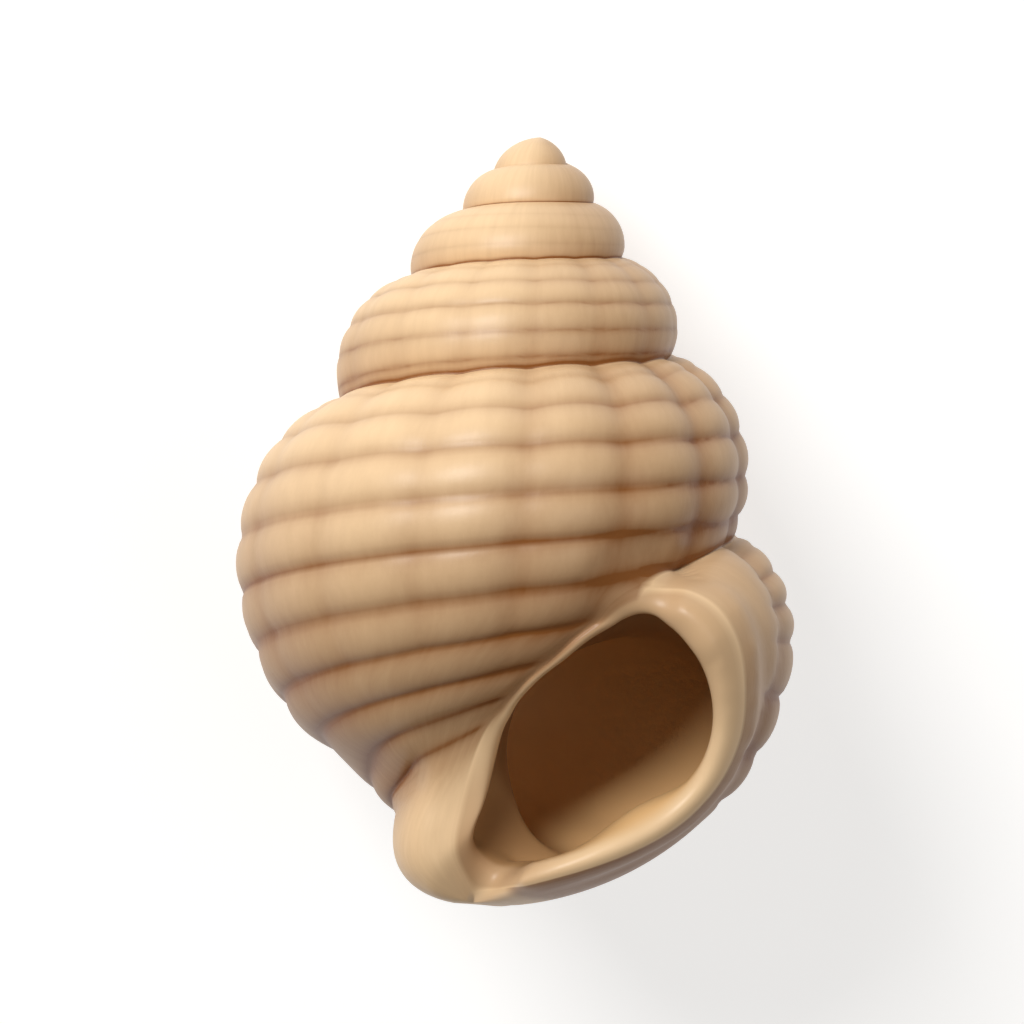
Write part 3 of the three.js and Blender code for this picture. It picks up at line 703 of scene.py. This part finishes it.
def shell_mesh(sizes):
    """One closed surface: the skin's two grids, the rolled lip as rings of one loop round the mouth,
    and the hollow behind it as more rings of that loop, closed by a fan."""
    upper, lower = skin_grids(sizes)
    upper_ids, lower_ids = skin_numbers(upper, lower)
    rim = rim_loop(upper.points, lower.points, 0)
    behind = rim_loop(upper.points, lower.points, 2)
    inner_stations = lower.stations[0, :COLUMNS_BELOW]
    past_tip = np.full(len(rim) - COLUMNS_BELOW, 99.0)
    bearing, edge = hollow_edge(rim)

    # the lip leaves along the skin and turns out, and ends pointing into the hollow
    gap = np.linalg.norm(edge - rim, axis=1)[:, None]
    leave = lip_leaves(rim, behind, np.concatenate([inner_stations, past_tip])) * gap * LIP_ROUNDNESS
    inwards = into_hollow(bearing)
    lip_shares = np.arange(1, LIP_STEPS + 1) / LIP_STEPS
    lip = cubic(rim, leave, edge, inwards * gap * LIP_ROUNDNESS, lip_shares)

    # the hollow: a funnel behind the lip, then a tube coiling back round the pillar
    depth = POCKET_TURNS * (np.arange(1, POCKET_STEPS + 1) / POCKET_STEPS) ** POCKET_CROWDING
    joint = hollow_ring(bearing, FUNNEL_TURNS)
    run = np.linalg.norm(joint - edge, axis=1)[:, None]
    slope = (hollow_ring(bearing, FUNNEL_TURNS + 0.01) - joint) / 0.01 * FUNNEL_TURNS
    funnel = cubic(edge, inwards * run, joint, slope, depth[depth < FUNNEL_TURNS] / FUNNEL_TURNS)
    tube = np.stack([hollow_ring(bearing, d) for d in depth[depth >= FUNNEL_TURNS]])
    end_turn = LIP_SHIFT / 360 - POCKET_TURNS
    end_radius, end_drop = hollow_centre(np.array(end_turn))
    cap = place(azimuth_of(end_turn) - CAP_BEHIND, end_radius, end_drop)

    # one list of points, and the rings' numbers after the grids' own
    first_ring = upper_ids.size + lower_ids.size
    ring_count = LIP_STEPS + POCKET_STEPS
    ring_ids = first_ring + np.arange(ring_count * len(bearing)).reshape(ring_count, -1)
    rim_ids = np.concatenate([lower_ids[0, :COLUMNS_BELOW], lower_ids[-1, ::-1],
                              upper_ids[-1, COLUMNS - 1:0:-1]])
    ring_ids = np.concatenate([rim_ids[None, :], ring_ids])
    cap_id = ring_ids.max() + 1
    parts = (upper.points, lower.points, lip, funnel, tube, cap)
    points = np.concatenate([part.reshape(-1, 3) for part in parts])
    closed_rings = np.concatenate([ring_ids, ring_ids[:, :1]], 1)
    last = ring_ids[-1]
    fan = np.stack([np.full_like(last, cap_id), last, np.roll(last, -1)], -1)
    faces = np.concatenate([strips(upper_ids), strips(lower_ids), strips(closed_rings)[:, ::-1], fan])
    same = (faces[:, 0] == faces[:, 1]) | (faces[:, 1] == faces[:, 2]) | (faces[:, 0] == faces[:, 2])
    faces = faces[~same]

    # what the material reads: the painted shade, how far inside the mouth, and the painted light of each
    # point, and where along growth it is, which on the lip and in the hollow is the suture's end
    upper_painted_shading, lower_painted_shading, band_painted_shading = skin_painted_shading(upper, lower)
    rim_painted_shade = np.concatenate([band_painted_shading, np.zeros(len(rim) - COLUMNS_BELOW)])
    painted_shading_and_mouth = np.tile([0.0, 0.0, 1.0], (len(points), 1))
    painted_shading_and_mouth[:upper_ids.size, 0] = upper_painted_shading.ravel()
    painted_shading_and_mouth[upper_ids.size:first_ring, 0] = lower_painted_shading.ravel()
    painted_shading_and_mouth[first_ring:cap_id] = mouth_painted_shading(bearing, rim_painted_shade, lip_shares, depth).reshape(-1, 3)
    painted_shading_and_mouth[cap_id, 1] = 1
    lip_azimuth = azimuth_of(0.0)
    growth = np.tile([math.cos(lip_azimuth), math.sin(lip_azimuth), 0.0], (len(points), 1))
    growth[:first_ring] = np.concatenate([growth_places(upper), growth_places(lower)])

    used, faces = np.unique(faces, return_inverse=True)
    points, faces = points[used], faces.reshape(-1, 3)
    rim_places = rim[RIM_WEAR_FROM::RIM_WEAR_EVERY]
    points = worn(points, faces, rim_places, RIM_WEAR_REACH, RIM_WEAR_PASSES)
    for worn_at, reach, passes in WORN_PLACES:
        points = worn(points, faces, np.array([worn_at]), reach, passes)
    return laid(points), faces, painted_shading_and_mouth[used], growth[used]


def mesh_object(name, points, faces):
    """A smooth-shaded mesh object from whole arrays of points and triangles."""
    mesh = bpy.data.meshes.new(name)
    mesh.vertices.add(len(points))
    mesh.vertices.foreach_set("co", points.astype(np.float32).ravel())
    mesh.loops.add(faces.size)
    mesh.loops.foreach_set("vertex_index", faces.astype(np.int32).ravel())
    mesh.polygons.add(len(faces))
    mesh.polygons.foreach_set("loop_start", np.arange(0, faces.size, 3, dtype=np.int32))
    mesh.polygons.foreach_set("use_smooth", np.ones(len(faces), dtype=bool))
    mesh.update()
    mesh.validate()
    piece = bpy.data.objects.new(name, mesh)
    bpy.context.scene.collection.objects.link(piece)
    return piece


# Finishes

# A unit of the growth attribute is about 25 mm round the body whorl, so the bands are about 1.8 mm
# wide there, and there are about three scratches to a millimetre.
BAND_SCALE = 14.0
BAND_CHANGE = (-0.03, 0.05)
SCRATCH_SCALE = 85.0
SCRATCH_STRENGTH = 0.2
SCRATCH_DEPTH = 0.0001
SKIN_ROUGHNESS = 0.42
ARAGONITE_IOR = 1.53
SKIN_SPECULAR = 0.35
PAPER_ROUGHNESS = 0.9
PAPER_GLOW = 0.66


def linear(hex_code):
    """An sRGB hex colour as linear RGBA."""
    parts = [int(hex_code[i:i + 2], 16) / 255 for i in (0, 2, 4)]
    return tuple(c / 12.92 if c <= 0.04045 else ((c + 0.055) / 1.055) ** 2.4 for c in parts) + (1.0,)


def add_node(tree, kind, settings=None, inputs=None):
    """Adds a node, sets its properties and fills or links its inputs."""
    node = tree.nodes.new(kind)
    for key, value in (settings or {}).items():
        setattr(node, key, value)
    for key, value in (inputs or {}).items():
        if isinstance(value, bpy.types.NodeSocket):
            tree.links.new(value, node.inputs[key])
        else:
            node.inputs[key].default_value = value
    return node


def mixed(tree, share, first, second):
    """The colour that goes from first to second as share goes from 0 to 1."""
    node = add_node(tree, "ShaderNodeMix", {"data_type": "RGBA"}, {"Factor": share, 6: first, 7: second})
    return node.outputs[2]


def aragonite_satin(look):
    """Worn aragonite, pale tan like unglazed porcelain with a satin skin.  Painted shade makes creases
    and shaded parts browner, growth shows as fine slanted scratches on the highlights, and the
    mouth's wall is brown, darkened by painted shade at its edge and paled by painted light where it
    is deep and on its lit side."""
    material = bpy.data.materials.new("Worn satin aragonite shell")
    material.use_nodes = True
    tree = material.node_tree
    shader = tree.nodes["Principled BSDF"]
    painted_shading_and_mouth = add_node(tree, "ShaderNodeAttribute", {"attribute_name": "painted_shading_and_mouth"})
    parts = add_node(tree, "ShaderNodeSeparateXYZ", inputs={"Vector": painted_shading_and_mouth.outputs["Vector"]})
    growth = add_node(tree, "ShaderNodeAttribute", {"attribute_name": "growth"})

    # growth bands, finer and finer, vary the tone of the skin a little
    bands = add_node(tree, "ShaderNodeTexNoise", inputs={
        "Vector": growth.outputs["Vector"], "Scale": BAND_SCALE, "Detail": 3.0, "Roughness": 0.6})
    varied = add_node(tree, "ShaderNodeMapRange", inputs={
        "Value": bands.outputs["Fac"], "From Min": 0.3, "From Max": 0.7,
        "To Min": BAND_CHANGE[0], "To Max": BAND_CHANGE[1]})
    # the painted shade, varied a little by the growth bands, takes the skin towards the crease colour
    depth = add_node(tree, "ShaderNodeMath", {"operation": "ADD", "use_clamp": True}, {
        0: parts.outputs["X"], 1: varied.outputs["Result"]})
    skin = mixed(tree, depth.outputs["Value"], linear(look.skin), linear(look.crease))
    # the mouth's wall goes from its shaded colour to its lit colour with the painted light
    wall = mixed(tree, parts.outputs["Z"], linear(look.mouth_wall_in_shade), linear(look.mouth_wall_in_light))
    colour = mixed(tree, parts.outputs["Y"], skin, wall)
    tree.links.new(colour, shader.inputs["Base Color"])

    scratches = add_node(tree, "ShaderNodeTexNoise", inputs={
        "Vector": growth.outputs["Vector"], "Scale": SCRATCH_SCALE, "Detail": 2.0, "Roughness": 0.7})
    bump = add_node(tree, "ShaderNodeBump", inputs={
        "Height": scratches.outputs["Fac"], "Strength": SCRATCH_STRENGTH, "Distance": SCRATCH_DEPTH})
    tree.links.new(bump.outputs["Normal"], shader.inputs["Normal"])
    shader.inputs["Roughness"].default_value = SKIN_ROUGHNESS
    shader.inputs["IOR"].default_value = ARAGONITE_IOR
    shader.inputs["Specular IOR Level"].default_value = SKIN_SPECULAR
    return material


def matte_paper(look):
    """White studio paper, matte, with a little light of its own so that it stays near white."""
    material = bpy.data.materials.new("Matte white paper")
    material.use_nodes = True
    shader = material.node_tree.nodes["Principled BSDF"]
    shader.inputs["Base Color"].default_value = linear(look.floor)
    shader.inputs["Roughness"].default_value = PAPER_ROUGHNESS
    shader.inputs["Emission Color"].default_value = (1, 1, 1, 1)
    shader.inputs["Emission Strength"].default_value = PAPER_GLOW
    return material


class ShellSizes(bpy.types.PropertyGroup):
    """Relief of the shell's surface, as shares of the whorl's widest radius."""
    cord_height: bpy.props.FloatProperty(
        name="Cord height", description="Height of the spiral cords, as a share of the whorl's radius",
        default=0.024, min=0, max=0.06, subtype="FACTOR")
    rib_height: bpy.props.FloatProperty(
        name="Rib height", description="Height of the axial ribs, as a share of the whorl's radius",
        default=0.030, min=0, max=0.06, subtype="FACTOR")


class ShellLook(bpy.types.PropertyGroup):
    """Colours of the shell, of its painted shade and painted light, and of the studio, as sRGB hex
    codes.
    """
    skin: bpy.props.StringProperty(
        name="Skin", description="Colour of the outside, sRGB hex", default="EBCA9F")
    # the crease colour is the painted shade in grooves, sutures, the base and the shaded sides
    crease: bpy.props.StringProperty(
        name="Creases", description="Colour of grooves and sutures, sRGB hex", default="86501F")
    # the wall's own brown, darkened by painted shade
    mouth_wall_in_shade: bpy.props.StringProperty(
        name="Mouth edge", description="Colour of the wall behind the inner lip, sRGB hex",
        default="5A2C0E")
    # the wall's own colour, paled by painted light
    mouth_wall_in_light: bpy.props.StringProperty(
        name="Deep inside", description="Colour of the wall deep in the mouth, sRGB hex",
        default="FACB8E")
    floor: bpy.props.StringProperty(
        name="Floor", description="Colour of the floor, sRGB hex", default="BEBDBB")


class SHELL_OT_grow(bpy.types.Operator):
    """Grow the shell and lay it on its back"""
    bl_idname = "whelk.grow_shell"
    bl_label = "Grow Shell"

    def execute(self, context):
        scene = context.scene
        points, faces, painted_shading_and_mouth, growth = shell_mesh(scene.whelk_sizes)
        piece = mesh_object("shell_skin", points, faces)
        for name, values in (("painted_shading_and_mouth", painted_shading_and_mouth), ("growth", growth)):
            attribute = piece.data.attributes.new(name, "FLOAT_VECTOR", "POINT")
            attribute.data.foreach_set("vector", values.astype(np.float32).ravel())
        piece.data.materials.append(aragonite_satin(scene.whelk_look))
        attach(piece, "root")
        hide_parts("shell")
        return {"FINISHED"}


# The photograph's view and light

# Each lamp stands across, above and before the view's target, in metres, and then come its width
# in metres and its power in watts.
VIEW_DISTANCE = 700.0
MM_PER_PIXEL = 0.1108
PHOTO_PIXELS = 1024
APEX_PIXEL = (540.0, 138.0)
SENSOR_MM = 36
FLOOR_HALF = 3.0
SKY_COLOUR = (1.0, 0.92, 0.82, 1)
SKY_STRENGTH = 0.18
LAMPS = (("key", -0.66, 0.72, 1.6, 0.6, 30.0), ("fill", 0.9, -0.25, 1.3, 0.9, 3.0))


def place_camera(context):
    """The camera stands where the photograph was taken from, relative to the shell, whose apex is
    the origin of its own frame."""
    right, down, out = mouth_axes()
    middle = PHOTO_PIXELS // 2
    target = (right * (middle - APEX_PIXEL[0]) + down * (middle - APEX_PIXEL[1])) * MM_PER_PIXEL
    axes = rest_axes()
    eye_in_world = (axes @ (out * VIEW_DISTANCE) - REST_FOOT) * MM
    target_in_world = (axes @ target - REST_FOOT) * MM
    look = target_in_world - eye_in_world
    distance = float(np.linalg.norm(look))
    look = look / distance
    side = np.cross(look, axes @ -down)
    side /= np.linalg.norm(side)
    top = np.cross(side, look)
    data = bpy.data.cameras.new("Camera")
    data.sensor_width = SENSOR_MM
    data.lens = SENSOR_MM * distance / (PHOTO_PIXELS * MM_PER_PIXEL * MM)
    data.clip_start = 0.01
    camera = bpy.data.objects.new("Camera", data)
    context.scene.collection.objects.link(camera)
    stand = np.identity(4)
    stand[:3] = np.stack([side, top, -look, eye_in_world], -1)
    camera.matrix_world = Matrix(stand.tolist())
    context.scene.camera = camera
    return side, top, look, target_in_world


class SHELL_OT_stage(bpy.types.Operator):
    """Set up the floor, the soft lights and the camera"""
    bl_idname = "whelk.set_stage"
    bl_label = "Set Stage"

    def execute(self, context):
        side, top, forward, target = place_camera(context)
        corners = FLOOR_HALF * np.array([[-1.0, -1, 0], [1, -1, 0], [1, 1, 0], [-1, 1, 0]])
        floor = mesh_object("floor", corners, np.array([[0, 1, 2], [0, 2, 3]]))
        floor.data.materials.append(matte_paper(context.scene.whelk_look))

        world = bpy.data.worlds.new("Studio")
        world.use_nodes = True
        background = world.node_tree.nodes["Background"]
        background.inputs["Color"].default_value = SKY_COLOUR
        background.inputs["Strength"].default_value = SKY_STRENGTH
        context.scene.world = world
        for name, across, above, before, width, power in LAMPS:
            lamp = bpy.data.lights.new(name, "AREA")
            lamp.energy = power
            lamp.size = width
            holder = bpy.data.objects.new(name, lamp)
            spot = target + side * across + top * above - forward * before
            holder.location = Vector(spot)
            holder.rotation_euler = (Vector(target) - Vector(spot)).to_track_quat("-Z", "Y").to_euler()
            context.scene.collection.objects.link(holder)
        context.scene.view_settings.view_transform = "Standard"
        return {"FINISHED"}


class SHELL_PT_panel(bpy.types.Panel):
    """Lists the shell's sizes, colours and steps"""
    bl_idname = "SHELL_PT_panel"
    bl_label = "Whelk Shell"
    bl_space_type = "VIEW_3D"
    bl_region_type = "UI"
    bl_category = "Whelk Shell"

    def draw(self, context):
        scene = context.scene
        for name in ("cord_height", "rib_height"):
            self.layout.prop(scene.whelk_sizes, name)
        for name in ("skin", "crease", "mouth_wall_in_shade", "mouth_wall_in_light", "floor"):
            self.layout.prop(scene.whelk_look, name)
        self.layout.operator(SHELL_OT_grow.bl_idname)
        self.layout.operator(SHELL_OT_stage.bl_idname)


CLASSES = (ShellSizes, ShellLook, SHELL_OT_grow, SHELL_OT_stage, SHELL_PT_panel)


def register():
    for item in CLASSES:
        bpy.utils.register_class(item)
    bpy.types.Scene.whelk_sizes = bpy.props.PointerProperty(type=ShellSizes)
    bpy.types.Scene.whelk_look = bpy.props.PointerProperty(type=ShellLook)


def unregister():
    del bpy.types.Scene.whelk_look
    del bpy.types.Scene.whelk_sizes
    for item in reversed(CLASSES):
        bpy.utils.unregister_class(item)


def main():
    register()
    bpy.ops.whelk.grow_shell()
    bpy.ops.whelk.set_stage()


if __name__ == "__main__":
    main()
